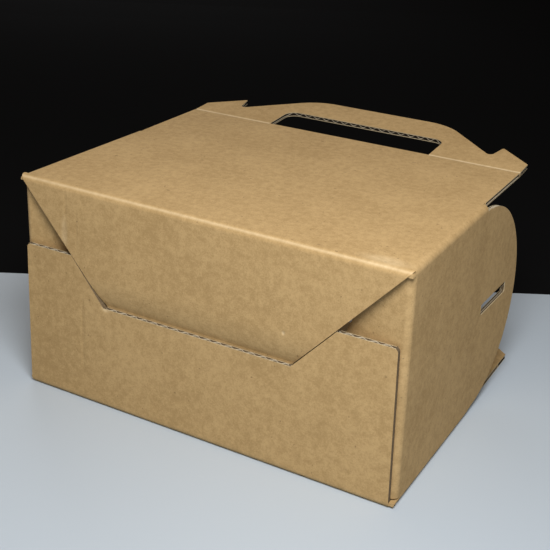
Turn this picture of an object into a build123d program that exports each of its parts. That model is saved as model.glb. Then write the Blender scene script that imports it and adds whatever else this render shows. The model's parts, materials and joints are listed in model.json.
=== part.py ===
"""Die-cut corrugated carry box with a locked base and a split carrying handle.

The carton lies on one wide wall, as it is set down to be packed from the handle end.
X runs along its length, Y from the locked base to the open end, Z up from the table.
The origin is the middle of the wall that the carton lies on.
"""
from build123d import *
from math import cos, hypot, radians, sin, tan
import os

# Board and carton, millimetres
board = 2.6  # thickness of the corrugated board
length = 224.0  # outside, from side wall to side wall
breadth = 124.0  # outside, from wide wall to wide wall
height = 103.8  # from the face of the base to the crease of the wide flaps
fold_inner = 0.6  # radius inside a fold
layer_gap = 0.3  # air between two layers of board

# Seam
lap_width = 28.0  # glue lap along the inside of the left wall
lap_taper = 6.0  # the lap narrows by this much at each end
lap_base_room = 15.0  # from the face of the base to the lap
lap_mouth_room = 6.0  # from the lap to the crease of the wide flaps

# Slotted panel of the base, folded up from the lower wall
recess_floor = 59.5  # height of the recess above the table
recess_depth = 25.5  # from the floor of the recess up to the shoulders
recess_left_inset = 52.4  # from the left side face to the corner of the recess
recess_right_inset = 58.7  # from the right side face to the corner of the recess
slotted_left_inset = 1.0
slotted_right_inset = 4.0  # at the shoulder
slotted_foot_inset = 2.8  # at the fold
slotted_corner = 2.0

# Tongue of the base, folded down from the upper wall into the recess
tongue_edge_gap = 0.6  # between the tongue and the slopes of the recess
tongue_tail = 19.5  # how far the tongue reaches below the floor of the recess
tongue_corner = 4.0

# Dust flaps of the base, folded in from the side walls
dust_reach = 57.0  # from the side face to the end of the flap, at its foot
dust_lean = 8.0  # degrees that they lean into the carton
dust_end_slope = 17.5  # degrees that the end slants back, going up
dust_head_fall = 5.0  # the upper edge falls by this much toward the end
dust_foot_room = 1.5  # above the lower wall
dust_corner = 4.0

# Creases that stay free to turn
hinge_gap = 0.2  # from the line of a crease to the board on each side
flap_outward = 60.0  # degrees that a flap can open past straight
wide_turn = 90.0  # degrees from straight to closed, on a wide flap
handle_turn = 90.0  # degrees that a handle panel stands up from its closed flap
side_turn = 52.0  # degrees from straight to closed, on a side flap
side_room = 0.3  # between the wide flaps and the side walls
corner_relief = 2.0  # cut at the four corners of the mouth
corner_slit = 0.8  # between the base and the four corners beside its folds
corner_sink = 0.4  # those corners sit this much inside the folds

# Handle panels, measured from the fold and from the side faces
handle_height = 52.7
wing_end = 14.0  # height of the wing at its outer end
hook_inset = 23.3
hook_height = 32.0
hook_undercut = 3.0  # the inner edge of the hook runs inward by this much
notch_floor = 16.2
shoulder_slope = 42.5  # degrees
notch_radius = 2.5
shoulder_radius = 33.0
tip_radius = 0.8
hand_hole_inset = 58.3
hand_hole_height = 26.6
hand_hole_corner = 7.0
handle_tilt = 4.2  # degrees that the upper handle stands above its flap

# Side flaps
side_flap_reach = 55.6
side_flap_room = 1.0  # between a side flap and the wide flaps beside it
side_flap_splay = 1.3  # degrees that they stand open past straight
slot_end_room = 1.5  # between the hook and the end of the slot
slot_side_room = 0.45  # between a handle panel and the side of the slot
slot_corner = 1.2

# Places that follow from the sizes
fold_outer = fold_inner + board
fold_run = 1.25 * fold_outer  # room that a fold takes up along its wall
dust_setback = board
base_face = -height / 2
mouth = height / 2
side_mouth = mouth + board + layer_gap
right_face = length / 2
left_face = -length / 2
mid_height = breadth / 2
shoulder = recess_floor + recess_depth
tongue_lean = (board + layer_gap) / (breadth - recess_floor)
flap_reach = mid_height - board - layer_gap / 2
flap_half_width = right_face - board - side_room
section_radii = [0, 0, fold_outer, 0, 0, fold_inner]  # corners of a folded section
recess_left = left_face + recess_left_inset
recess_right = right_face - recess_right_inset


def tongue_edge(z, side):
    """X of the tongue's left (-1) or right (+1) edge at height z in the front view."""
    corner = recess_right - tongue_edge_gap if side > 0 else recess_left + tongue_edge_gap
    root = side * right_face
    return root + (corner - root) * (breadth - z) / (breadth - recess_floor)


def folded_section(reach, lean):
    """Corners of the section of a wall's end and the panel folded from it.

    Local X runs along the wall away from the fold, local Y into the carton, and the
    panel leans in by lean radians.
    """
    down = Vector(sin(lean), cos(lean))
    across = Vector(cos(lean), -sin(lean)) * board
    inner_corner = across + down * (board * (1 + sin(lean)) / cos(lean))
    wall_end = [Vector(fold_run, board), Vector(fold_run, 0), Vector(0, 0)]
    return wall_end + [down * reach, down * reach + across, inner_corner]


def crease_groove(panel, inward, outward):
    """Section of the groove along a panel's crease.

    The groove leaves the panel room to turn by inward degrees into the carton and by
    outward degrees out of it.
    """
    section = Plane(panel.origin, x_dir=panel.x_dir, z_dir=panel.x_dir.cross(panel.z_dir))
    depth = board / 2 + layer_gap
    inside = hinge_gap + depth * tan(radians(inward) / 2)
    outside = hinge_gap + depth * tan(radians(outward) / 2)
    with BuildSketch(section) as groove:
        with BuildLine():
            Polyline(
                (-inside, -depth),
                (inside, -depth),
                (hinge_gap, 0),
                (outside, depth),
                (-outside, depth),
                (-hinge_gap, 0),
                close=True,
            )
        make_face()
    return groove.sketch


def turned(direction, angle, axis):
    """A direction turned about an axis by an angle in degrees."""
    return Vector(*direction).rotate(Axis((0, 0, 0), axis), angle)


# A panel's plane lies in the middle of its board, with local X away from its crease
# and the outside of the carton along its normal
upper_plane = Plane((0, mouth, breadth - board / 2), x_dir=(0, 1, 0), z_dir=(0, 0, 1))
lower_plane = Plane((0, mouth, board / 2), x_dir=(0, 1, 0), z_dir=(0, 0, -1))
upper_fold = Plane(
    upper_plane.from_local_coords((flap_reach, 0, 0)),
    x_dir=turned((0, 1, 0), handle_tilt, (1, 0, 0)),
    z_dir=turned((0, 0, 1), handle_tilt, (1, 0, 0)),
)
lower_fold = Plane(
    lower_plane.from_local_coords((flap_reach, 0, 0)),
    x_dir=lower_plane.x_dir,
    z_dir=lower_plane.z_dir,
)


def side_plane(side):
    """The plane of the left (-1) or right (+1) side flap."""
    return Plane(
        (side * (right_face - board / 2), side_mouth, mid_height),
        x_dir=turned((0, 1, 0), -side * side_flap_splay, (0, 0, 1)),
        z_dir=turned((side, 0, 0), -side * side_flap_splay, (0, 0, 1)),
    )


# Slotted panel: fold, shoulders and recess
with BuildPart() as slotted_panel:
    with BuildSketch(Plane((0, base_face, 0), x_dir=(0, 1, 0), z_dir=(1, 0, 0))):
        with BuildLine():
            FilletPolyline(*folded_section(shoulder, 0), radius=section_radii, close=True)
        make_face()
    extrude(amount=right_face, both=True)
    with BuildSketch(Plane.XZ.offset(-base_face)):
        with BuildLine():
            FilletPolyline(
                (left_face + slotted_left_inset, 0),
                (left_face + slotted_left_inset, shoulder),
                (tongue_edge(shoulder, -1) - tongue_edge_gap, shoulder),
                (recess_left, recess_floor),
                (recess_right, recess_floor),
                (tongue_edge(shoulder, 1) + tongue_edge_gap, shoulder),
                (right_face - slotted_right_inset, shoulder),
                (right_face - slotted_foot_inset, 0),
                radius=[0, slotted_corner, tip_radius, tip_radius, tip_radius, tip_radius,
                        slotted_corner, 0],
                close=True,
            )
        make_face()
    extrude(amount=height / 2, both=True, mode=Mode.INTERSECT)

# Tongue: full width at its fold, tapering through the recess to a tail behind the panel
tail_end = recess_floor - tongue_tail
with BuildPart() as tongue:
    with BuildSketch(Plane((0, base_face, breadth), x_dir=(0, 1, 0), z_dir=(-1, 0, 0))):
        with BuildLine():
            FilletPolyline(*folded_section(breadth, tongue_lean), radius=section_radii, close=True)
        make_face()
    extrude(amount=right_face, both=True)
    with BuildSketch(Plane.XZ.offset(-base_face)):
        with BuildLine():
            FilletPolyline(
                (tongue_edge(breadth, -1), breadth),
                (tongue_edge(tail_end, -1), tail_end),
                (tongue_edge(tail_end, 1), tail_end),
                (tongue_edge(breadth, 1), breadth),
                radius=[0, tongue_corner, tongue_corner, 0],
                close=True,
            )
        make_face()
    extrude(amount=height / 2, both=True, mode=Mode.INTERSECT)

# Right dust flap: its end slants back, which leaves room for the tongue to be tucked in
dust_fold = base_face + dust_setback
dust_head = breadth - fold_outer
dust_foot = board + dust_foot_room
dust_head_reach = dust_reach - (dust_head - dust_foot) * tan(radians(dust_end_slope))
with BuildPart() as dust_flap:
    with BuildSketch(Plane((right_face, dust_fold, mid_height), x_dir=(0, 1, 0), z_dir=(0, 0, 1))):
        dust_section = folded_section(dust_reach / cos(radians(dust_lean)), radians(dust_lean))
        with BuildLine():
            FilletPolyline(*dust_section, radius=section_radii, close=True)
        make_face()
    extrude(amount=mid_height, both=True)
    with BuildSketch(Plane.XZ.offset(-base_face)):
        with BuildLine():
            FilletPolyline(
                (right_face, dust_foot),
                (right_face, dust_head),
                (right_face - fold_run, dust_head),
                (right_face - dust_head_reach, dust_head - dust_head_fall),
                (right_face - dust_reach, dust_foot),
                radius=[0, 0, 0, dust_corner, dust_corner],
                close=True,
            )
        make_face()
    extrude(amount=height / 2, both=True, mode=Mode.INTERSECT)

# Corners of the four walls beside the folds of the base, rounded off like those folds
with BuildPart() as base_corners:
    with BuildSketch(Plane.XZ.offset(-(base_face + corner_slit))):
        with Locations((0, mid_height)):
            RectangleRounded(length, breadth, fold_outer)
            RectangleRounded(
                length - 2 * board, breadth - 2 * board, fold_inner, mode=Mode.SUBTRACT
            )
            Rectangle(length - 2 * fold_outer, breadth, mode=Mode.SUBTRACT)
            Rectangle(length, breadth - 2 * fold_outer, mode=Mode.SUBTRACT)
    extrude(amount=corner_slit - fold_run)
    with BuildSketch(Plane((0, base_face, mid_height), x_dir=(0, 1, 0), z_dir=(1, 0, 0))):
        RectangleRounded(
            height, breadth - 2 * corner_sink, fold_outer, align=(Align.MIN, Align.CENTER)
        )
    extrude(amount=right_face, both=True, mode=Mode.INTERSECT)

# Carton body: four walls, glue lap and the locked base, folded from one sheet
with BuildPart() as carton_body:
    with BuildSketch(Plane.XZ.offset(-(base_face + fold_run))):
        with Locations((0, mid_height)):
            RectangleRounded(length, breadth, fold_outer)
            RectangleRounded(
                length - 2 * board, breadth - 2 * board, fold_inner, mode=Mode.SUBTRACT
            )
    extrude(amount=fold_run - height)

    # The side walls start further in, where the dust flaps fold, and run on past the mouth
    with BuildSketch(Plane.XZ.offset(-base_face)):
        with Locations((0, mid_height)):
            Rectangle(length, breadth - 2 * fold_outer)
    extrude(amount=-(dust_setback + fold_run), mode=Mode.SUBTRACT)
    with BuildSketch(Plane.XZ.offset(-mouth)):
        with Locations((0, mid_height)):
            with GridLocations(length - board, 0, 2, 1):
                Rectangle(board, breadth - 2 * fold_outer)
    extrude(amount=mouth - side_mouth)

    # Relief cuts at the four corners of the mouth
    with BuildSketch(Plane.XZ.offset(-(mouth - corner_relief))):
        with Locations((0, mid_height)):
            with GridLocations(length - fold_outer, breadth - fold_outer, 2, 2):
                Rectangle(fold_outer, fold_outer)
    extrude(amount=-(side_mouth - mouth + corner_relief), mode=Mode.SUBTRACT)

    # Creases of the wide flaps and of the side flaps
    for panel in (upper_plane, lower_plane):
        wide_groove = crease_groove(panel, wide_turn, flap_outward)
        extrude(wide_groove, amount=length, both=True, mode=Mode.SUBTRACT)
    for panel in (side_plane(-1), side_plane(1)):
        side_groove = crease_groove(panel, side_turn, flap_outward)
        extrude(side_groove, amount=length, both=True, mode=Mode.SUBTRACT)

    # Glue lap along the inside of the left wall
    with BuildSketch(Plane((left_face + board, 0, 0), x_dir=(0, 1, 0), z_dir=(1, 0, 0))):
        with BuildLine():
            Polyline(
                (base_face + lap_base_room, board),
                (base_face + lap_base_room + lap_taper, board + lap_width),
                (mouth - lap_mouth_room - lap_taper, board + lap_width),
                (mouth - lap_mouth_room, board),
                close=True,
            )
        make_face()
    extrude(amount=board)

    add(base_corners.part)
    add(slotted_panel.part)
    add(tongue.part)
    add(dust_flap.part)
    add(mirror(dust_flap.part, about=Plane.YZ, mode=Mode.PRIVATE))


def wide_flap(plane):
    """Half of the closed top: a flap from a wide wall's crease to its handle's fold."""
    with BuildPart() as flap:
        with BuildSketch(plane):
            Rectangle(flap_reach, 2 * flap_half_width, align=(Align.MIN, Align.CENTER))
        extrude(amount=board / 2, both=True)
        crease = crease_groove(plane, wide_turn, flap_outward)
        extrude(crease, amount=length, both=True, mode=Mode.SUBTRACT)
        fold_plane = Plane(
            plane.from_local_coords((flap_reach, 0, 0)), x_dir=plane.x_dir, z_dir=plane.z_dir
        )
        handle_fold = crease_groove(fold_plane, 0, handle_turn)
        extrude(handle_fold, amount=length, both=True, mode=Mode.SUBTRACT)
    return flap.part


def handle_panel(plane):
    """One of the two handle panels, with its hand hole, notches and hooked wings."""
    slope = tan(radians(shoulder_slope))
    notch_inset = hook_inset + hook_undercut
    crown_inset = notch_inset + (handle_height - notch_floor) / slope
    with BuildPart() as handle:
        with BuildSketch(plane):
            with BuildLine():
                half = FilletPolyline(
                    (0, flap_half_width),
                    (wing_end, flap_half_width),
                    (hook_height, right_face - hook_inset),
                    (notch_floor, right_face - notch_inset),
                    (handle_height, right_face - crown_inset),
                    (handle_height, 0),
                    radius=[tip_radius, tip_radius, notch_radius, shoulder_radius],
                )
                mirror(half, about=Plane.XZ)
                Line((0, flap_half_width), (0, -flap_half_width))
            make_face()
            with BuildLine():
                half = FilletPolyline(
                    (0, right_face - hand_hole_inset),
                    (hand_hole_height, right_face - hand_hole_inset),
                    (hand_hole_height, 0),
                    radius=[hand_hole_corner],
                )
                mirror(half, about=Plane.XZ)
                Line((0, right_face - hand_hole_inset), (0, hand_hole_inset - right_face))
            make_face(mode=Mode.SUBTRACT)
        extrude(amount=board / 2, both=True)
        handle_fold = crease_groove(plane, 0, handle_turn)
        extrude(handle_fold, amount=length, both=True, mode=Mode.SUBTRACT)
    return handle.part


def side_flap(plane):
    """A side flap: a round tab with the slot that drops over the hooks of the handle."""
    half_root = mid_height - board - side_flap_room
    arc_radius = (half_root**2 + side_flap_reach**2) / (2 * side_flap_reach)
    slot_width = 2 * board + layer_gap + 2 * slot_side_room
    slot_reach = slot_end_room + hypot(
        hook_inset - board / 2, hook_height - (side_mouth - mouth)
    )
    with BuildPart() as flap:
        with BuildSketch(plane):
            with Locations((side_flap_reach - arc_radius, 0)):
                Circle(arc_radius)
            Rectangle(
                2 * arc_radius, 2 * arc_radius,
                align=(Align.MAX, Align.CENTER), mode=Mode.SUBTRACT,
            )
            with BuildLine():
                half = FilletPolyline(
                    (-board, slot_width / 2),
                    (slot_reach, slot_width / 2),
                    (slot_reach, 0),
                    radius=[slot_corner],
                )
                mirror(half, about=Plane.XZ)
                Line((-board, slot_width / 2), (-board, -slot_width / 2))
            make_face(mode=Mode.SUBTRACT)
        extrude(amount=board / 2, both=True)
        crease = crease_groove(plane, side_turn, flap_outward)
        extrude(crease, amount=length, both=True, mode=Mode.SUBTRACT)
    return flap.part


pieces = {
    "carton_body": carton_body.part,
    "upper_flap": wide_flap(upper_plane),
    "upper_handle": handle_panel(upper_fold),
    "lower_flap": wide_flap(lower_plane),
    "lower_handle": handle_panel(lower_fold),
    "right_side_flap": side_flap(side_plane(1)),
    "left_side_flap": side_flap(side_plane(-1)),
}

os.makedirs("parts", exist_ok=True)
for name, piece in pieces.items():
    piece.label = name
    export_step(piece, f"parts/{name}.step")
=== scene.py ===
"""The look of a kraft corrugated carry box, laid out as a Blender add-on.

Every cut edge of the board shows its two liners and the fluting between them, every crease
that turns has strips of liner across its groove, and all of it is kraft paper.
"""

import json
import math

import bmesh
import bpy
from bpy.props import FloatProperty, FloatVectorProperty, PointerProperty
from mathutils import Matrix, Vector
from mathutils.bvhtree import BVHTree

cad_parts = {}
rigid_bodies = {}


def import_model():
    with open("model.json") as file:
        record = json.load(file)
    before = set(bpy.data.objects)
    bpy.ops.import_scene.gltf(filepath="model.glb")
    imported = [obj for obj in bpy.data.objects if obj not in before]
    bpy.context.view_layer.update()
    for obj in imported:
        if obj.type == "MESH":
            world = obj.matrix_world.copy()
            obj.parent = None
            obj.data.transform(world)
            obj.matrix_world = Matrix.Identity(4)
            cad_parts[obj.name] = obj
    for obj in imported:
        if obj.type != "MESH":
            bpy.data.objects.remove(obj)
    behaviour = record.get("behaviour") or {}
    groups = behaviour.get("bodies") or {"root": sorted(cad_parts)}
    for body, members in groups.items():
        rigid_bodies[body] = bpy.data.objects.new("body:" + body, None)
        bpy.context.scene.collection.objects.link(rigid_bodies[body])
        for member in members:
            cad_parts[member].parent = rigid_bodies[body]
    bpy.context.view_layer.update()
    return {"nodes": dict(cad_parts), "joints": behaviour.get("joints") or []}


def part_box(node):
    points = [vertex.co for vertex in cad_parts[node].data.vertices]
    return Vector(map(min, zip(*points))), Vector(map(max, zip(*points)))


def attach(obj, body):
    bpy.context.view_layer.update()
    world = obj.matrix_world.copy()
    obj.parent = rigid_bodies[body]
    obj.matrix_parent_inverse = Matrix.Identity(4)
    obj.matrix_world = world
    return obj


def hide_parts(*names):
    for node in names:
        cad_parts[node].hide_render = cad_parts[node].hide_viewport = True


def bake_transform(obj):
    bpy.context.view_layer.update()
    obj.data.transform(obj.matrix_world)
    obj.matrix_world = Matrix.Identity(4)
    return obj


bl_info = {
    "name": "Corrugated carry box",
    "version": (1, 0, 0),
    "blender": (4, 5, 0),
    "location": "3D View > Sidebar > Carton",
    "description": "Dresses a folded carton in kraft corrugated board with fluted cut edges",
    "category": "Object",
}

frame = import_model()
JOINTS = {joint["name"]: joint for joint in frame["joints"]}

MM = 0.001
BOARD = 2.6 * MM  # thickness of the board in the CAD part
FOLD = 3.2 * MM  # outer radius of its folds
TOUCH = 0.1 * MM  # allowed for when a place is compared with a plane
BODY_LOW, BODY_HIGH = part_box("carton_body")
FLAP_LOW, FLAP_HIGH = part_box("upper_flap")
MIDDLE = BODY_HIGH.z / 2
WALL_END = BODY_HIGH.x - FOLD  # a wide wall's crease ends here, at the corner relief

# Each crease: outside of the board there, the tilt at rest, how far it turns inward and
# outward, and the stretches along its line where both panels have board, or the kind of
# panel that they are worked out for
CREASES = {
    "upper_flap_crease": ((0, 0, 1), 0.0, 90.0, 60.0, ((-WALL_END, WALL_END),)),
    "upper_handle_fold": ((0, 0, 1), 4.2, 0.0, 90.0, "handle"),
    "lower_flap_crease": ((0, 0, -1), 0.0, 90.0, 60.0, ((-WALL_END, WALL_END),)),
    "lower_handle_fold": ((0, 0, -1), 0.0, 0.0, 90.0, "handle"),
    "right_side_crease": ((1, 0, 0), 1.3, 52.0, 60.0, "side"),
    "left_side_crease": ((-1, 0, 0), 1.3, 52.0, 60.0, "side"),
}
HAND_HOLE = 53.7 * MM  # half of the hand hole's width
SLOT = 3.2 * MM  # half of the width of a side flap's slot
SIDE_FLAP = 58.4 * MM  # half of a side flap's width at its crease
LINE_GAP = 0.2 * MM  # from the line of a crease to the board on each side
FILLER_GAP = 0.05 * MM  # between the filler in a slot and the flap that turns round it
STRIP_ROWS = 12  # steps of the strip of liner across a crease

LEFT_SPLAY = 2.6 * MM  # how far the left wall's upper front corner stands out
SPLAY_TOP = 96.0 * MM  # height at which the whole of that is reached
SPLAY_FRONT, SPLAY_WALL = 88.0 * MM, 8.0 * MM  # where it starts, on the base and on the wall
TONGUE_LEAN = 2.9 / 64.5  # how far the CAD part's tongue leans in, for each unit down
TONGUE_BEND = (60.5 * MM, 78.0 * MM)  # heights between which the real tongue bends in
BEND_STEPS = 6
DUST_END = (55.5 * MM, 0.315)  # from the middle to a dust flap's end, and its slant going up
DUST_DEPTHS = (8.4 * MM, 22.0 * MM)  # behind the base, where only the ends of dust flaps are
DUST_RUN_ON = 9.0 * MM  # how much longer the real dust flaps are there
DUST_FADE = (3.0 * MM, 9.0 * MM)  # distances from the end over which this fades out
DUST_SWING = 0.14  # how far a dust flap leans in, for each unit along it

FOLD_FACE = 1.3 * MM  # a face of liner narrower than this belongs to a rounded fold
HARD_CORNER = math.radians(32)  # a sharper edge than this isn't shaded round
FOLD_WEAR, HANDLE_WEAR_AND_HIGHLIGHT = 0.05, 0.75  # how light the liner is scuffed at folds, and at handle folds scuffed light with a painted highlight
TOP_WEAR = 0.55  # most wear on the fold between the tongue and the upper wide wall
TOP_WEAR_TURN, TOP_WEAR_FALL = 50.0, 1 / 40  # degrees round it where that is, fall for each
RUNG_ERROR = 0.25 * MM  # the end of a cut face is as long as the board is thick, within this
SPAN_ERROR = 0.3 * MM  # fluting is made where a cut face is as wide as that, within this
PATH_STEP = 1.2 * MM  # from one point to the next along the middle of a cut face
CREASE_REACH = 2.0 * MM  # faces nearer than this to a crease belong to its groove
POINT_SNAP = 0.02 * MM  # points of the edge lines nearer than this are one
FLUTE_STEPS = 14  # points on each wave of the fluting
HANDLE_RECESS = 0.4 * MM  # how much further back the fluting lies at the handle panels


class CartonSizes(bpy.types.PropertyGroup):
    """Sizes of what shows at the edges and creases of the board."""

    liner_thickness: FloatProperty(
        name="Liner thickness", description="Thickness of each liner as seen at a cut edge",
        default=0.4 * MM, unit="LENGTH",
    )
    edge_depth: FloatProperty(
        name="Edge depth", description="How far a cut edge can be looked into",
        default=0.7 * MM, unit="LENGTH",
    )
    flute_pitch: FloatProperty(
        name="Flute pitch", description="Distance from one flute to the next",
        default=6.5 * MM, unit="LENGTH",
    )
    flute_height: FloatProperty(
        name="Flute height", description="Height of the wave of the fluting",
        default=1.6 * MM, unit="LENGTH",
    )
    fluting_thickness: FloatProperty(
        name="Fluting thickness", description="Thickness of the fluting paper",
        default=0.36 * MM, unit="LENGTH",
    )
    fluting_recess: FloatProperty(
        name="Fluting recess", description="How far the fluting lies behind the cut liners",
        default=0.05 * MM, unit="LENGTH",
    )
    crease_dip: FloatProperty(
        name="Crease dip", description="Depth of the line pressed along a crease",
        default=0.12 * MM, unit="LENGTH",
    )


def colour_property(label, description, default):
    """A colour that the user may change."""
    return FloatVectorProperty(
        name=label, description=description, subtype="COLOR", size=4, min=0.0, max=1.0,
        default=(*default, 1.0),
    )


class CartonColours(bpy.types.PropertyGroup):
    """Colours of the paper and of the studio."""

    liner_light: colour_property("Light kraft", "Lighter tone of the liner", (0.57, 0.385, 0.178))
    liner_dark: colour_property("Dark kraft", "Darker tone of the liner", (0.43, 0.280, 0.120))
    # Scuffed liner, and also the painted highlight along the outer handle folds
    scuff_and_highlight: colour_property("Scuff", "Liner where a fold has rubbed it light", (0.86, 0.68, 0.42))
    shive: colour_property("Shive", "Dark specks of fibre", (0.16, 0.095, 0.045))
    cut_edge: colour_property("Cut edge", "Cut edge of a liner", (0.60, 0.49, 0.31))
    fluting: colour_property("Fluting", "Recycled paper of the fluting", (0.56, 0.48, 0.35))
    # Painted shade in the hollows of cut edges, and painted shadow on the base's slanting and
    # upright cut edges
    hollow_shade: colour_property("Hollow", "Board behind crushed flutes", (0.20, 0.145, 0.085))
    # Painted shade: near black inside the handles' open flutes
    open_flute_shade: colour_property("Open flute", "Inside of an open flute", (0.02, 0.014, 0.009))
    table: colour_property("Table", "Pale table", (0.53, 0.60, 0.67))
    backdrop: colour_property("Backdrop", "Black cloth behind the table", (0.008, 0.008, 0.0082))


class Num:
    """A number inside a node tree, worked on with plain arithmetic."""

    def __init__(self, graph, socket):
        self.graph, self.socket = graph, socket

    def maths(self, operation, *values):
        """The number that a maths node gives for these values."""
        made = self.graph.node("ShaderNodeMath", {"operation": operation}, dict(enumerate(values)))
        return Num(self.graph, made.outputs[0])

    def __add__(self, other):
        return self.maths("ADD", self, other)

    __radd__ = __add__

    def __sub__(self, other):
        return self.maths("SUBTRACT", self, other)

    def __rsub__(self, other):
        return self.maths("SUBTRACT", other, self)

    def __mul__(self, other):
        return self.maths("MULTIPLY", self, other)

    __rmul__ = __mul__

    def __truediv__(self, other):
        return self.maths("DIVIDE", self, other)

    def sine(self):
        """The sine of the number."""
        return self.maths("SINE", self)

    def ramp(self, low, high):
        """0 at low and 1 at high, eased between them."""
        made = self.graph.node(
            "ShaderNodeMapRange", {"interpolation_type": "SMOOTHSTEP"},
            {"Value": self, "From Min": low, "From Max": high},
        )
        return Num(self.graph, made.outputs[0])


class Graph:
    """A node tree that is filled from Python."""

    def __init__(self, tree):
        self.tree = tree
        tree.nodes.clear()

    def node(self, kind, settings=None, values=None):
        """A node of this kind: its settings are made first, then its sockets."""
        made = self.tree.nodes.new(kind)
        for name, value in (settings or {}).items():
            setattr(made, name, value)
        for name, value in (values or {}).items():
            source = value.socket if isinstance(value, Num) else value
            if isinstance(source, bpy.types.NodeSocket):
                self.tree.links.new(source, made.inputs[name])
            else:
                made.inputs[name].default_value = source
        return made

    def vector(self, operation, *values):
        """A vector worked out from vectors, and the length where the operation gives one."""
        made = self.node("ShaderNodeVectorMath", {"operation": operation}, dict(enumerate(values)))
        return made.outputs["Value" if operation == "LENGTH" else "Vector"]

    def scaled(self, direction, factor):
        """A vector times a number."""
        made = self.node(
            "ShaderNodeVectorMath", {"operation": "SCALE"}, {0: direction, "Scale": factor}
        )
        return made.outputs["Vector"]

    def blend(self, factor, first, second):
        """A mix of two colours."""
        mixed = self.node(
            "ShaderNodeMix", {"data_type": "RGBA", "clamp_factor": True},
            {0: factor, 6: first, 7: second},
        )
        return mixed.outputs[2]

    def noise(self, place, scale, detail, roughness):
        """Fractal noise around one half."""
        values = {"Vector": place, "Scale": scale, "Detail": detail, "Roughness": roughness}
        return Num(self, self.node("ShaderNodeTexNoise", {}, values).outputs[0])

    def attribute(self, name):
        """A number stored on the mesh."""
        return Num(self, self.node("ShaderNodeAttribute", {"attribute_name": name}).outputs["Fac"])

    def near(self, place, centre, reach):
        """1 at a centre in millimetres, falling to 0 at its reach along each axis."""
        offset = self.vector("SUBTRACT", place, tuple(MM * part for part in centre))
        shape = self.vector("DIVIDE", offset, tuple(MM * part for part in reach))
        return 1 - Num(self, self.vector("LENGTH", shape)).ramp(0.15, 1.0)


def sizes():
    """The user's sizes."""
    return bpy.context.scene.carton_sizes


def colours():
    """The user's colours."""
    return bpy.context.scene.carton_colours


def paper_shader(graph, colour, roughness, height):
    """Ends a material in matt paper whose height is in metres."""
    bump = graph.node("ShaderNodeBump", {}, {"Strength": 1.0, "Distance": 1.0, "Height": height})
    shader = graph.node("ShaderNodeBsdfPrincipled", {}, {
        "Base Color": colour, "Roughness": roughness, "Specular IOR Level": 0.2,
        "Normal": bump.outputs[0],
    })
    graph.node("ShaderNodeOutputMaterial", {}, {"Surface": shader.outputs[0]})


# Marks of handling: centre and reach along each axis in millimetres, and strength
CRUSHED = (
    ((96.0, -46.0, 124.0), (17.0, 7.0, 5.0), 0.35),
    ((-85.0, -52.0, 97.0), (3.0, 3.0, 13.0), 0.30),
    ((48.6, -51.0, 76.3), (1.4, 3.0, 1.8), 0.60),
    ((-58.0, -52.0, 60.0), (4.0, 3.0, 3.0), 0.60),
)
DENTS = (
    ((-73.8, -52.0, 40.0), (1.8, 3.0, 34.0), 0.30),
    ((-84.0, -52.0, 113.0), (1.6, 3.0, 13.0), 0.25),
    ((-77.0, -52.0, 100.0), (1.4, 3.0, 20.0), 0.20),
)
SPECKS = (
    ((-36.2, -26.7, 124.0), (1.6, 0.9, 2.0), 0.60),
    ((-68.9, -52.0, 62.1), (0.9, 2.0, 1.1), 0.55),
    ((103.1, -52.0, 69.5), (0.9, 2.0, 0.9), 0.45),
)


def liner_material():
    """Unbleached kraft liner: cloudy tone, fibres, dark shives, folds scuffed light and a painted
    highlight along the handle folds.
    """
    material = bpy.data.materials.new("kraft_liner")
    material.use_nodes = True
    graph = Graph(material.node_tree)
    tones = colours()
    place = graph.node("ShaderNodeTexCoord").outputs["Object"]
    clouds = graph.noise(place, 30.0, 4.0, 0.6)
    mottle = graph.noise(place, 300.0, 3.0, 0.6)
    grain = graph.noise(place, 1300.0, 2.0, 0.7)
    wave = (graph.attribute("across") * (2 * math.pi / sizes().flute_pitch)).sine()
    tone = clouds * 0.26 + mottle * 0.37 + grain * 0.37 + wave * 0.005
    colour = graph.blend(tone.ramp(0.36, 0.64), tuple(tones.liner_dark), tuple(tones.liner_light))
    shives = graph.noise(place, 480.0, 1.0, 0.4).ramp(0.74, 0.80)
    colour = graph.blend(shives * 0.55, colour, tuple(tones.shive))
    # Scuffed folds, marks of handling and a painted highlight along the outer handle folds, all
    # lightened towards the scuff colour
    rub_and_highlight = graph.attribute("rub_and_highlight") * (0.55 + mottle * 0.6)
    for centre, reach, strength in CRUSHED:
        rub_and_highlight = rub_and_highlight + graph.near(place, centre, reach) * (strength * (0.2 + mottle * 1.2))
    colour = graph.blend(rub_and_highlight, colour, tuple(tones.scuff_and_highlight))
    for centre, reach, strength in SPECKS:
        speck = graph.near(place, centre, reach) * strength
        colour = graph.blend(speck, colour, tuple(tones.shive))
    height = grain * (0.04 * MM) + mottle * (0.05 * MM) + clouds * (0.5 * MM) + wave * (0.012 * MM)
    for centre, reach, strength in CRUSHED + DENTS:
        height = height - graph.near(place, centre, reach) * (strength * 0.5 * MM)
    paper_shader(graph, colour, 0.88, height)


def cut_paper_material(name, colour, scale):
    """Rough torn paper, as seen at a cut edge."""
    material = bpy.data.materials.new(name)
    material.use_nodes = True
    graph = Graph(material.node_tree)
    place = graph.node("ShaderNodeTexCoord").outputs["Object"]
    grain = graph.noise(place, scale, 3.0, 0.6)
    shaded = tuple(0.7 * part for part in colour[:3]) + (1.0,)
    mixed = graph.blend(grain.ramp(0.35, 0.65), shaded, tuple(colour))
    paper_shader(graph, mixed, 0.95, grain * (0.08 * MM))


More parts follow.
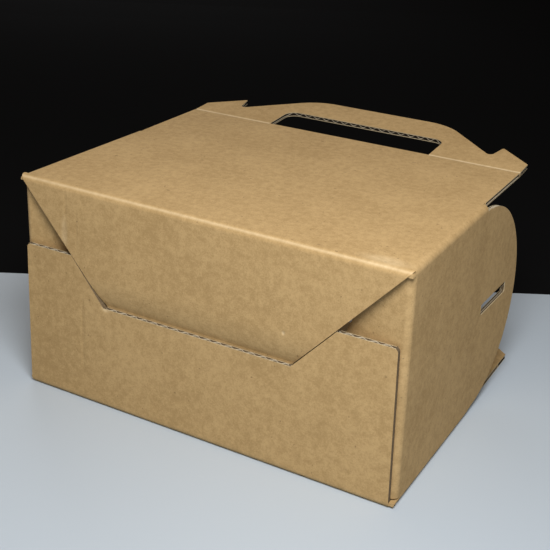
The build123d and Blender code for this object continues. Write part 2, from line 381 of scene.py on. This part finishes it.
def board_materials():
    """The liner, its cut edge, the two painted shades of the hollows behind it and the fluting,
    made once.
    """
    if "kraft_liner" not in bpy.data.materials:
        tones = colours()
        liner_material()
        cut_paper_material("liner_edge", tones.cut_edge, 1500.0)
        cut_paper_material("board_shade", tones.hollow_shade, 700.0)
        cut_paper_material("open_flute_shade", tones.open_flute_shade, 700.0)
        cut_paper_material("fluting_paper", tones.fluting, 1500.0)
    names = ("kraft_liner", "liner_edge", "board_shade", "open_flute_shade", "fluting_paper")
    return [bpy.data.materials[name] for name in names]


def add_piece(name, mesh, body=None):
    """Puts a finished mesh in the scene, riding on a body if one is given."""
    piece = bpy.data.objects.new(name, mesh)
    bpy.context.scene.collection.objects.link(piece)
    if body is not None:
        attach(piece, body)
    return piece


def flat_normal(graph):
    """The direction square to a flat panel: that of its widest faces."""
    total = {}
    for face in graph.faces:
        key = tuple(round(abs(part), 2) for part in face.normal)
        total[key] = total.get(key, 0.0) + face.calc_area()
    return Vector(max(total, key=total.get)).normalized()


def mark_cut_faces(graph, node):
    """Gives material 1 to the faces where the board was cut."""
    folded = node == "carton_body"
    creases = [
        joint["pos_m"][1] for joint in JOINTS.values() if node in (joint["parent"], joint["child"])
    ]
    tree = BVHTree.FromBMesh(graph)
    square = None if folded else flat_normal(graph)
    for face in graph.faces:
        centre, normal = face.calc_center_median(), face.normal
        at_crease = any(abs(centre.y - line) < CREASE_REACH for line in creases)
        if at_crease and abs(normal.y) > 0.2:
            cut = False
        elif folded:
            corner = (
                abs(centre.x) > WALL_END - TOUCH
                and abs(centre.z - MIDDLE) > MIDDLE - FOLD - TOUCH
                and centre.y < BODY_LOW.y + 1.5 * FOLD
            )
            reach = tree.ray_cast(centre - normal * 0.01 * MM, -normal)[3]
            cut = not corner and reach is not None and reach > 2.2 * BOARD
        else:
            cut = sum(abs(a * b) for a, b in zip(normal, square)) < 0.3
        face.material_index = 1 if cut else 0


def shade_base_ends(graph):
    """Gives the slanting and upright cut edges of the base the dark hollow colour, as painted
    shadow.
    """
    for face in graph.faces:
        near = face.calc_center_median().y < BODY_LOW.y + 2 * BOARD
        if near and face.material_index == 1 and abs(face.normal.x) > 0.4:
            face.material_index = 2


def across_axis(normal):
    """The axis that crosses the flutes on a face: up on the side walls, else along X."""
    return 2 if abs(normal.x) > 0.1 else 0


def store_across(graph):
    """Stores on every face corner how far it lies across the flutes."""
    layer = graph.loops.layers.float.new("across")
    for face in graph.faces:
        axis = across_axis(face.normal)
        for loop in face.loops:
            loop[layer] = loop.vert.co[axis]


def splay_left_corner(graph):
    """Lets the left wall stand out a little where it meets the tongue, as it does when used."""
    for vert in graph.verts:
        place = vert.co
        if place.x < BODY_LOW.x + 3 * BOARD:
            start = SPLAY_FRONT if place.y < BODY_LOW.y + BOARD + TOUCH else SPLAY_WALL
            rise = min(1.0, max(0.0, (place.z - start) / (SPLAY_TOP - start)))
            near = min(1.0, max(0.0, (BODY_HIGH.y - place.y) / (BODY_HIGH.y - BODY_LOW.y)))
            place.x -= LEFT_SPLAY * near * rise * rise * (3 - 2 * rise)


def lengthen_dust_flaps(graph):
    """Runs the slanting end of each dust flap on behind the tongue, so that no gap shows."""
    full, none = DUST_FADE
    for vert in graph.verts:
        place = vert.co
        behind = DUST_DEPTHS[0] < place.y - BODY_LOW.y < DUST_DEPTHS[1]
        if behind and abs(place.x) < BODY_HIGH.x - 3 * BOARD:
            end = DUST_END[0] + (place.z - BOARD) * DUST_END[1]
            away = abs(abs(place.x) - end)
            near = min(1.0, max(0.0, (none - away) / (none - full)))
            place.x -= math.copysign(DUST_RUN_ON * near, place.x)
            place.y += DUST_SWING * DUST_RUN_ON * near


def store_rubbed(graph):
    """Shades the folds smooth and stores how light the liner is rubbed along them."""
    layer = graph.verts.layers.float.new("rub_and_highlight")
    centre_y, centre_z = BODY_LOW.y + FOLD, BODY_HIGH.z - FOLD
    for face in graph.faces:
        width = 2 * face.calc_area() / face.calc_perimeter()
        face.smooth = face.material_index == 0 and width < FOLD_FACE
    for vert in graph.verts:
        liners = [face for face in vert.link_faces if face.material_index == 0]
        bent = bool(liners) and all(face.smooth for face in liners)
        vert[layer] = FOLD_WEAR if bent else 0.0
        rise, back = vert.co.z - centre_z, centre_y - vert.co.y
        if bent and min(rise, back) > 0 and math.hypot(rise, back) > FOLD - 2 * TOUCH:
            turn = math.degrees(math.atan2(rise, back))
            vert[layer] = max(0.0, TOP_WEAR - abs(turn - TOP_WEAR_TURN) * TOP_WEAR_FALL)


def bow_tongue(graph):
    """Lays the tongue level with the slotted panel, down to where it bends in behind it."""
    def sheet():
        """The two sides of the tongue, which lean as nothing else does."""
        return [
            face for face in graph.faces
            if abs(face.normal.y) > 0.99 and 0.5 < abs(face.normal.z) / TONGUE_LEAN < 1.5
        ]

    low, high = TONGUE_BEND
    for step in range(BEND_STEPS + 1):
        height = low + (high - low) * step / BEND_STEPS
        faces = sheet()
        rims = {
            other for face in faces for edge in face.edges for other in edge.link_faces
            if other.material_index == 1
        }
        around = set(faces) | rims
        edges = {edge for face in around for edge in face.edges}
        verts = {vert for face in around for vert in face.verts}
        bmesh.ops.bisect_plane(
            graph, geom=[*around, *edges, *verts], plane_co=(0, 0, height), plane_no=(0, 0, 1)
        )
        graph.normal_update()
    for vert in {vert for face in sheet() for vert in face.verts}:
        if low < vert.co.z < BODY_HIGH.z - FOLD:
            leaning = (BODY_HIGH.z - vert.co.z) * TONGUE_LEAN
            share = min(1.0, max(0.0, (high - vert.co.z) / (high - low)))
            level = min(leaning, TOUCH)
            vert.co.y += level + (leaning - level) * share * share - leaning
    graph.normal_update()


def polygon_length(points):
    """Length of a run of points."""
    return sum((b - a).length for a, b in zip(points, points[1:]))


def point_along(points, share):
    """The point at this share of a run's length."""
    left = share * polygon_length(points)
    for a, b in zip(points, points[1:]):
        step = (b - a).length
        if left <= step and step > 0:
            return a.lerp(b, left / step)
        left -= step
    return points[-1].copy()


def edge_path(face):
    """The middle of a cut face from end to end, with the direction through the board."""
    verts = list(face.verts)
    count = len(verts)
    rungs = [
        index for index in range(count)
        if abs((verts[index].co - verts[(index + 1) % count].co).length - BOARD) < RUNG_ERROR
    ]
    tips = [(verts[i].co + verts[(i + 1) % count].co) / 2 for i in rungs]
    if len(rungs) >= 2:
        first, last = max(
            ((a, b) for a in range(len(rungs)) for b in range(a)),
            key=lambda pair: (tips[pair[0]] - tips[pair[1]]).length,
        )
        i, j = sorted((rungs[first], rungs[last]))
        left = [verts[k % count].co for k in range(i + 1, j + 1)]
        right = [verts[k % count].co for k in range(j + 1, i + count + 1)]
    elif len(rungs) == 1:
        i = rungs[0]
        j = max(range(count), key=lambda k: (verts[k].co - tips[0]).length)
        left = [verts[k % count].co for k in range(i + 1, j + 1 + (count if j <= i else 0))]
        right = [verts[k % count].co for k in range(j, i + 1 + (count if i < j else 0))]
    else:
        i, j = max(
            ((a, b) for a in range(count) for b in range(a + 1, count)),
            key=lambda pair: (verts[pair[0]].co - verts[pair[1]].co).length,
        )
        left = [verts[k].co for k in range(i, j + 1)]
        right = [verts[k % count].co for k in range(j, i + count + 1)]
    right = right[::-1]
    steps = max(2, len(left), len(right), round(polygon_length(left) / PATH_STEP))
    rows = []
    for step in range(steps):
        a, b = point_along(left, step / (steps - 1)), point_along(right, step / (steps - 1))
        if abs((b - a).length - BOARD) < SPAN_ERROR:
            rows.append(((a + b) / 2, (b - a).normalized()))
    return rows


def edge_network(graph):
    """Points, links and directions of the lines along the middle of all cut faces."""
    points, links, index = [], [], {}
    for face in graph.faces:
        if face.material_index != 1:
            continue
        liner = [
            other.normal for edge in face.edges for other in edge.link_faces
            if other.material_index == 0
        ]
        axis = 0
        if liner:
            axis = across_axis(min(liner, key=lambda normal: abs(normal.dot(face.normal))))
        previous = None
        for middle, span in edge_path(face):
            key = tuple(round(part / POINT_SNAP) for part in middle)
            if key not in index:
                index[key] = len(points)
                points.append({"place": middle, "inward": Vector(), "span": span, "axis": axis})
            points[index[key]]["inward"] -= face.normal
            if previous is not None and previous != index[key]:
                links.append((previous, index[key]))
            previous = index[key]
    return points, links


def align_spans(points, links):
    """Turns each direction through the board the same way along a line."""
    beside = {}
    for a, b in links:
        beside.setdefault(a, []).append(b)
        beside.setdefault(b, []).append(a)
    seen = set()
    for start in range(len(points)):
        waiting = [start]
        while waiting:
            here = waiting.pop()
            if here in seen:
                continue
            seen.add(here)
            for other in beside.get(here, []):
                if other not in seen:
                    if points[other]["span"].dot(points[here]["span"]) < 0:
                        points[other]["span"] = -points[other]["span"]
                    waiting.append(other)


def inset(graph, faces, thickness, depth, limit):
    """Moves a region inward from its rim, no point further than the limit."""
    ring = bmesh.ops.inset_region(
        graph, faces=faces, use_boundary=True, use_even_offset=True,
        thickness=thickness, depth=depth,
    )["faces"]
    inner = {vert for face in faces for vert in face.verts}
    for vert in inner:
        for edge in vert.link_edges:
            root = edge.other_vert(vert)
            step = vert.co - root.co
            if root not in inner and step.length > limit:
                vert.co = root.co + step.normalized() * limit
    return ring


def open_cut_edges(graph):
    """Sinks each cut face between two liners, which leaves the hollow for the fluting; the hollow
    is coloured dark as painted shade.
    """
    cuts = [face for face in graph.faces if face.material_index == 1]
    lip, depth = sizes().liner_thickness, sizes().edge_depth
    inset(graph, cuts, lip, 0.0, 2 * lip)
    # The sunk faces and the sides of the channel take the dark hollow colour: painted shade
    for face in cuts:
        face.material_index = 2
    for face in inset(graph, cuts, 0.01 * MM, -depth, 1.6 * depth):
        face.material_index = 2


def keep_corners_hard(graph):
    """Shades the cut edges flat, with a hard line round them and at every sharp corner."""
    for face in graph.faces:
        if face.material_index:
            face.smooth = False
            for edge in face.edges:
                edge.smooth = False
    for edge in graph.edges:
        if len(edge.link_faces) != 2 or edge.calc_face_angle() > HARD_CORNER:
            edge.smooth = False


def fluting_tree():
    """Geometry nodes that turn the lines of the cut edges into a wave of fluting."""
    tree = bpy.data.node_groups.new("edge_fluting", "GeometryNodeTree")
    graph = Graph(tree)
    tree.interface.new_socket("Edge lines", in_out="INPUT", socket_type="NodeSocketGeometry")
    for name in ("Pitch", "Wave height", "Paper", "Depth", "Recess"):
        tree.interface.new_socket(name, in_out="INPUT", socket_type="NodeSocketFloat")
    tree.interface.new_socket("Fluting", in_out="OUTPUT", socket_type="NodeSocketGeometry")
    inputs = graph.node("NodeGroupInput")
    pitch, wave_height, paper, depth, recess = (
        Num(graph, inputs.outputs[name])
        for name in ("Pitch", "Wave height", "Paper", "Depth", "Recess")
    )

    def stored(name, kind):
        made = graph.node("GeometryNodeInputNamedAttribute", {"data_type": kind}, {"Name": name})
        return made.outputs["Attribute"]

    lines = graph.node("GeometryNodeMeshToCurve", {}, {"Mesh": inputs.outputs["Edge lines"]})
    evened = graph.node(
        "GeometryNodeResampleCurve", {"mode": "LENGTH"},
        {"Curve": lines.outputs[0], "Length": pitch / FLUTE_STEPS},
    )
    phase = Num(graph, stored("across", "FLOAT")) * (2 * math.pi) / pitch
    offset = graph.scaled(stored("span", "FLOAT_VECTOR"), phase.sine() * wave_height / 2)
    waved = graph.node(
        "GeometryNodeSetPosition", {}, {"Geometry": evened.outputs[0], "Offset": offset}
    )
    turned = graph.node(
        "GeometryNodeSetCurveNormal", {"mode": "FREE"},
        {"Curve": waved.outputs[0], "Normal": stored("inward", "FLOAT_VECTOR")},
    )
    section = graph.node(
        "GeometryNodeCurvePrimitiveQuadrilateral", {}, {"Width": depth, "Height": paper}
    )
    drop = graph.node("ShaderNodeCombineXYZ", {}, {"X": depth / 2 + recess})
    sunk = graph.node(
        "GeometryNodeTransform", {},
        {"Geometry": section.outputs[0], "Translation": drop.outputs[0]},
    )
    swept = graph.node(
        "GeometryNodeCurveToMesh", {},
        {"Curve": turned.outputs[0], "Profile Curve": sunk.outputs[0], "Fill Caps": True},
    )
    real = graph.node("GeometryNodeRealizeInstances", {}, {"Geometry": swept.outputs[0]})
    painted = graph.node(
        "GeometryNodeSetMaterial", {},
        {"Geometry": real.outputs[0], "Material": board_materials()[4]},
    )
    graph.node("NodeGroupOutput", {}, {"Fluting": painted.outputs[0]})
    return tree


def add_fluting(name, body, points, links):
    """The fluting at the cut edges of one piece of board."""
    mesh = bpy.data.meshes.new(name + "_lines")
    mesh.from_pydata([point["place"] for point in points], links, [])
    for field in ("inward", "span"):
        layer = mesh.attributes.new(field, "FLOAT_VECTOR", "POINT")
        parts = [part for point in points for part in point[field].normalized()]
        layer.data.foreach_set("vector", parts)
    layer = mesh.attributes.new("across", "FLOAT", "POINT")
    layer.data.foreach_set("value", [point["place"][point["axis"]] for point in points])
    lines = bpy.data.objects.new(name + "_lines", mesh)
    bpy.context.scene.collection.objects.link(lines)
    tree = bpy.data.node_groups.get("edge_fluting") or fluting_tree()
    modifier = lines.modifiers.new("edge_fluting", "NODES")
    modifier.node_group = tree
    chosen = sizes()
    recess = chosen.fluting_recess + (HANDLE_RECESS if "handle" in name else 0.0)
    given = {
        "Pitch": chosen.flute_pitch, "Wave height": chosen.flute_height,
        "Paper": chosen.fluting_thickness,
        "Depth": chosen.edge_depth - recess, "Recess": recess,
    }
    for item in tree.interface.items_tree:
        if item.in_out == "INPUT" and item.name in given:
            modifier[item.identifier] = given[item.name]
    bpy.context.view_layer.update()
    made = bpy.data.meshes.new_from_object(
        lines.evaluated_get(bpy.context.evaluated_depsgraph_get())
    )
    lines.modifiers.clear()
    bpy.data.objects.remove(lines)
    bpy.data.meshes.remove(mesh)
    made.name = name
    if not made.polygons:
        raise RuntimeError(f"{name} came out empty")
    add_piece(name, made, body)


def finish_board(graph, name, body, nodes=()):
    """Opens the cut edges of a mesh of board and makes it a piece with its fluting."""
    store_rubbed(graph)
    store_across(graph)
    points, links = edge_network(graph)
    align_spans(points, links)
    open_cut_edges(graph)
    keep_corners_hard(graph)
    mesh = bpy.data.meshes.new(name)
    graph.to_mesh(mesh)
    graph.free()
    imported = mesh.attributes.get("custom_normal")
    if imported:
        mesh.attributes.remove(imported)
    # The third material is painted shade: near black in the handles' open flutes, dark brown in the
    # other hollows
    liner, edge, hollow_shade, tunnel_shade, _ = board_materials()
    for material in (liner, edge, tunnel_shade if "handle" in name else hollow_shade):
        mesh.materials.append(material)
    piece = add_piece(name, mesh, body)
    if nodes:
        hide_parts(*nodes)
    if links:
        add_fluting(name + "_fluting", body, points, links)


def dress_node(node):
    """Makes a CAD node's piece of corrugated board."""
    graph = bmesh.new()
    graph.from_mesh(frame["nodes"][node].data)
    bmesh.ops.remove_doubles(graph, verts=graph.verts, dist=0.002 * MM)
    graph.normal_update()
    mark_cut_faces(graph, node)
    bmesh.ops.dissolve_limit(
        graph, angle_limit=math.radians(0.4), use_dissolve_boundaries=False,
        verts=graph.verts, edges=graph.edges, delimit={"MATERIAL"},
    )
    graph.normal_update()
    if node == "carton_body":
        shade_base_ends(graph)
        bow_tongue(graph)
        lengthen_dust_flaps(graph)
        splay_left_corner(graph)
    finish_board(graph, node + "_board", node, (node,))


def crease_frame(name):
    """A point on a crease, the outside of the board, the way the board runs and the line."""
    outside, along = Vector(CREASES[name][0]), Vector((0, 1, 0))
    return Vector(JOINTS[name]["pos_m"]), outside, along, along.cross(outside)


def groove_half_width(turn):
    """Half of the width, at the liner, of the groove that lets a crease turn this far."""
    return LINE_GAP + BOARD / 2 * math.tan(math.radians(turn) / 2)


def crease_stretches(name):
    """Where both panels of a crease have board, along its line."""
    stretches = CREASES[name][4]
    if stretches == "handle":
        return ((-FLAP_HIGH.x, -HAND_HOLE), (HAND_HOLE, FLAP_HIGH.x))
    if stretches == "side":
        return ((-SIDE_FLAP, -SLOT), (SLOT, SIDE_FLAP))
    return stretches


def crease_strip(name, side):
    """A strip of liner over the groove of a crease, outside (+1) or inside (-1)."""
    point, outside, along, line = crease_frame(name)
    _, tilt, inward, outward, _ = CREASES[name]
    half = groove_half_width(outward if side > 0 else inward)
    handle = name.endswith("handle_fold")
    # The outer handle fold is lightened as scuffed liner with a painted highlight
    wear_and_highlight = HANDLE_WEAR_AND_HIGHLIGHT if handle and side > 0 else 0.0
    pressed = sizes().crease_dip if handle else 0.0
    graph = bmesh.new()
    rub_and_highlight = graph.verts.layers.float.new("rub_and_highlight")
    for low, high in crease_stretches(name):
        rings = []
        for row in range(STRIP_ROWS + 1):
            share = row / STRIP_ROWS
            middle = math.sin(math.pi * share)
            angle = math.radians(tilt) * (share * share * (3 - 2 * share))
            turn = Matrix.Rotation(angle, 3, line)
            ring = []
            top = BOARD / 2 - pressed * middle ** 2
            for depth in (top, top - sizes().liner_thickness):
                bent = turn @ (along * (2 * share - 1) * half + outside * side * depth)
                for end in (low, high):
                    vert = graph.verts.new(point + bent + line * end)
                    vert[rub_and_highlight] = wear_and_highlight * middle
                    ring.append(vert)
            rings.append(ring)
        for a, b in zip(rings, rings[1:]):
            graph.faces.new((a[0], a[1], b[1], b[0])).smooth = True
            graph.faces.new((a[2], b[2], b[3], a[3])).smooth = True
            graph.faces.new((a[1], a[3], b[3], b[1]))
            graph.faces.new((a[0], b[0], b[2], a[2]))
        graph.faces.new((rings[0][0], rings[0][2], rings[0][3], rings[0][1]))
        graph.faces.new((rings[-1][0], rings[-1][1], rings[-1][3], rings[-1][2]))
    bmesh.ops.recalc_face_normals(graph, faces=graph.faces)
    keep_corners_hard(graph)
    across = graph.loops.layers.float.new("across")
    for face in graph.faces:
        for loop in face.loops:
            loop[across] = loop.vert.co[across_axis(outside)]
    piece_name = name + ("_outer" if side > 0 else "_inner")
    mesh = bpy.data.meshes.new(piece_name)
    graph.to_mesh(mesh)
    graph.free()
    mesh.materials.append(board_materials()[0])
    piece = add_piece(piece_name, mesh)
    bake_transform(piece)


def crease_filler(name):
    """Board up to the line of a crease, where only the panel before it has board."""
    point, outside, along, line = crease_frame(name)
    half = HAND_HOLE if name.endswith("handle_fold") else SLOT - FILLER_GAP
    _, _, inward, outward, _ = CREASES[name]
    outer, inner = groove_half_width(outward), groove_half_width(inward)
    face_high, face_low = BOARD / 2, -BOARD / 2
    section = (
        (-outer, face_high), (0.0, face_high), (0.0, face_low), (-inner, face_low), (-LINE_GAP, 0.0)
    )
    graph = bmesh.new()
    ends = []
    for end in (-half, half):
        start = point + line * end
        ends.append([graph.verts.new(start + along * s + outside * n) for s, n in section])
    for k in range(len(section)):
        j = (k + 1) % len(section)
        face = graph.faces.new((ends[0][k], ends[1][k], ends[1][j], ends[0][j]))
        face.material_index = 1 if k == 1 else 0
    for ring in ends:
        graph.faces.new(ring)
    bmesh.ops.recalc_face_normals(graph, faces=graph.faces)
    graph.normal_update()
    finish_board(graph, name + "_filler", JOINTS[name]["parent"])


class CARTON_OT_body(bpy.types.Operator):
    """Dress the four walls and the locked base"""

    bl_idname = "carton.body"
    bl_label = "Walls and base"

    def execute(self, context):
        dress_node("carton_body")
        return {"FINISHED"}


class CARTON_OT_wide_flaps(bpy.types.Operator):
    """Dress the two wide flaps"""

    bl_idname = "carton.wide_flaps"
    bl_label = "Wide flaps"

    def execute(self, context):
        dress_node("upper_flap")
        dress_node("lower_flap")
        return {"FINISHED"}


class CARTON_OT_handles(bpy.types.Operator):
    """Dress the two handle panels"""

    bl_idname = "carton.handles"
    bl_label = "Handle panels"

    def execute(self, context):
        dress_node("upper_handle")
        dress_node("lower_handle")
        return {"FINISHED"}


class CARTON_OT_side_flaps(bpy.types.Operator):
    """Dress the two slotted side flaps"""

    bl_idname = "carton.side_flaps"
    bl_label = "Side flaps"

    def execute(self, context):
        dress_node("right_side_flap")
        dress_node("left_side_flap")
        return {"FINISHED"}


class CARTON_OT_creases(bpy.types.Operator):
    """Bridge the six creases that turn with strips of liner"""

    bl_idname = "carton.creases"
    bl_label = "Creases"

    def execute(self, context):
        for name in CREASES:
            crease_strip(name, 1)
            crease_strip(name, -1)
            if crease_stretches(name)[0][1] < 0:
                crease_filler(name)
        return {"FINISHED"}


CAMERA_PLACE = Vector((0.27052, -0.47218, 0.32217))
CAMERA_YAW, CAMERA_PITCH, CAMERA_ROLL = -28.69, 18.78, 2.30  # degrees
CAMERA_LENS = 72.07  # millimetres, on a 36 mm sensor
CAMERA_SHIFT = -0.197  # the photograph is cut from below the middle of the camera's view
TABLE_REACH = 0.696  # from below the camera to the table's far edge
TABLE_NEAR = 2.5  # from below the camera to its near edge, behind the camera
STAGE_HALF = 3.0  # half of the width of the table and of the backdrop
DROP_BEHIND = 0.9  # of black floor between the table and the sweep of the backdrop
DROP_SWEEP = 0.5  # radius of the sweep
DROP_STEPS = 9
DROP_RISE = 2.5  # of upright backdrop above the sweep


def camera_axes():
    """Right, up and forward of the camera that took the photograph."""
    yaw, pitch, roll = (math.radians(value) for value in (CAMERA_YAW, CAMERA_PITCH, CAMERA_ROLL))
    forward = Vector((
        math.sin(yaw) * math.cos(pitch), math.cos(yaw) * math.cos(pitch), -math.sin(pitch)
    ))
    right = Vector((math.cos(yaw), -math.sin(yaw), 0.0))
    up = right.cross(forward)
    turned_right = right * math.cos(roll) + up * math.sin(roll)
    turned_up = up * math.cos(roll) - right * math.sin(roll)
    return turned_right, turned_up, forward


def add_camera():
    """The camera at the photograph's viewpoint."""
    right, up, forward = camera_axes()
    data = bpy.data.cameras.new("photo_camera")
    data.sensor_width = 36.0
    data.lens = CAMERA_LENS
    data.shift_y = CAMERA_SHIFT
    data.clip_start = 0.01
    camera = bpy.data.objects.new("photo_camera", data)
    placed = Matrix((right, up, -forward)).transposed().to_4x4()
    placed.translation = CAMERA_PLACE
    camera.matrix_world = placed
    bpy.context.scene.collection.objects.link(camera)
    bpy.context.scene.camera = camera


def add_lamp(name, place, target, size, power):
    """A soft square lamp that points at a target and isn't seen itself."""
    data = bpy.data.lights.new(name, "AREA")
    data.size = size
    data.energy = power
    lamp = bpy.data.objects.new(name, data)
    lamp.location = place
    lamp.visible_camera = False
    lamp.rotation_euler = (Vector(target) - Vector(place)).to_track_quat("-Z", "Y").to_euler()
    bpy.context.scene.collection.objects.link(lamp)


def add_world(strength, tint):
    """Soft light from all round that the camera sees as black."""
    world = bpy.data.worlds.new("studio")
    world.use_nodes = True
    bpy.context.scene.world = world
    graph = Graph(world.node_tree)
    rays = graph.node("ShaderNodeLightPath")
    seen = (
        Num(graph, rays.outputs["Is Camera Ray"]) + Num(graph, rays.outputs["Is Glossy Ray"])
        + Num(graph, rays.outputs["Is Transmission Ray"])
    )
    black = tuple(colours().backdrop)
    light = graph.node("ShaderNodeBackground", {}, {"Color": (*tint, 1.0), "Strength": strength})
    dark = graph.node("ShaderNodeBackground", {}, {"Color": black, "Strength": 1.0})
    mixed = graph.node(
        "ShaderNodeMixShader", {}, {0: seen, 1: light.outputs[0], 2: dark.outputs[0]}
    )
    graph.node("ShaderNodeOutputWorld", {}, {"Surface": mixed.outputs[0]})


def stage_sheet(name, rows, colour, roughness, shine=0.1):
    """A plain sheet of the stage through rows of points."""
    verts = [point for row in rows for point in row]
    faces = [(2 * k, 2 * k + 1, 2 * k + 3, 2 * k + 2) for k in range(len(rows) - 1)]
    mesh = bpy.data.meshes.new(name)
    mesh.from_pydata(verts, [], faces)
    material = bpy.data.materials.new(name)
    material.use_nodes = True
    graph = Graph(material.node_tree)
    shader = graph.node("ShaderNodeBsdfPrincipled", {}, {
        "Base Color": tuple(colour), "Roughness": roughness, "Specular IOR Level": shine,
    })
    graph.node("ShaderNodeOutputMaterial", {}, {"Surface": shader.outputs[0]})
    mesh.materials.append(material)
    sheet = bpy.data.objects.new(name, mesh)
    bpy.context.scene.collection.objects.link(sheet)


class CARTON_OT_stage(bpy.types.Operator):
    """Set the pale table, black backdrop, lamps and camera"""

    bl_idname = "carton.stage"
    bl_label = "Studio"

    def execute(self, context):
        add_camera()
        _, _, forward = camera_axes()
        ahead = Vector((forward.x, forward.y, 0)).normalized()
        beside = Vector((ahead.y, -ahead.x, 0)) * STAGE_HALF
        start = Vector((CAMERA_PLACE.x, CAMERA_PLACE.y, 0))
        near, far = start - ahead * TABLE_NEAR, start + ahead * TABLE_REACH
        line = [far]
        for step in range(DROP_STEPS + 1):
            angle = math.radians(90 * step / DROP_STEPS)
            back = DROP_BEHIND + DROP_SWEEP * math.sin(angle)
            line.append(far + ahead * back + Vector((0, 0, DROP_SWEEP * (1 - math.cos(angle)))))
        line.append(line[-1] + Vector((0, 0, DROP_RISE)))
        table = [(point - beside, point + beside) for point in (near, far)]
        drop = [(point - beside, point + beside) for point in line]
        stage_sheet("table", table, colours().table, 0.45)
        stage_sheet("backdrop", drop, colours().backdrop, 0.9, 0.0)
        add_world(0.18, (1.0, 0.84, 0.68))
        add_lamp("key_softbox", (0.23, -0.33, 0.53), (0.02, 0.0, 0.06), 0.25, 3.75)
        add_lamp("back_softbox", (-0.80, 1.00, 0.45), (0.0, 0.05, 0.06), 0.8, 3.5)
        context.scene.view_settings.view_transform = "Standard"
        return {"FINISHED"}


OPERATORS = (
    CARTON_OT_body, CARTON_OT_wide_flaps, CARTON_OT_handles, CARTON_OT_side_flaps,
    CARTON_OT_creases, CARTON_OT_stage,
)


class CARTON_PT_panel(bpy.types.Panel):
    """Lists the pieces of the carton and its sizes and colours"""

    bl_label = "Carton"
    bl_idname = "CARTON_PT_panel"
    bl_space_type = "VIEW_3D"
    bl_region_type = "UI"
    bl_category = "Carton"

    def draw(self, context):
        for operator in OPERATORS:
            self.layout.operator(operator.bl_idname)
        for group in (context.scene.carton_sizes, context.scene.carton_colours):
            column = self.layout.column()
            for name in group.__annotations__:
                column.prop(group, name)


CLASSES = (CartonSizes, CartonColours, *OPERATORS, CARTON_PT_panel)


def register():
    for item in CLASSES:
        bpy.utils.register_class(item)
    bpy.types.Scene.carton_sizes = PointerProperty(type=CartonSizes)
    bpy.types.Scene.carton_colours = PointerProperty(type=CartonColours)


def unregister():
    del bpy.types.Scene.carton_colours
    del bpy.types.Scene.carton_sizes
    for item in reversed(CLASSES):
        bpy.utils.unregister_class(item)


def main():
    register()
    bpy.ops.carton.body()
    bpy.ops.carton.wide_flaps()
    bpy.ops.carton.handles()
    bpy.ops.carton.side_flaps()
    bpy.ops.carton.creases()
    bpy.ops.carton.stage()


if __name__ == "__main__":
    main()
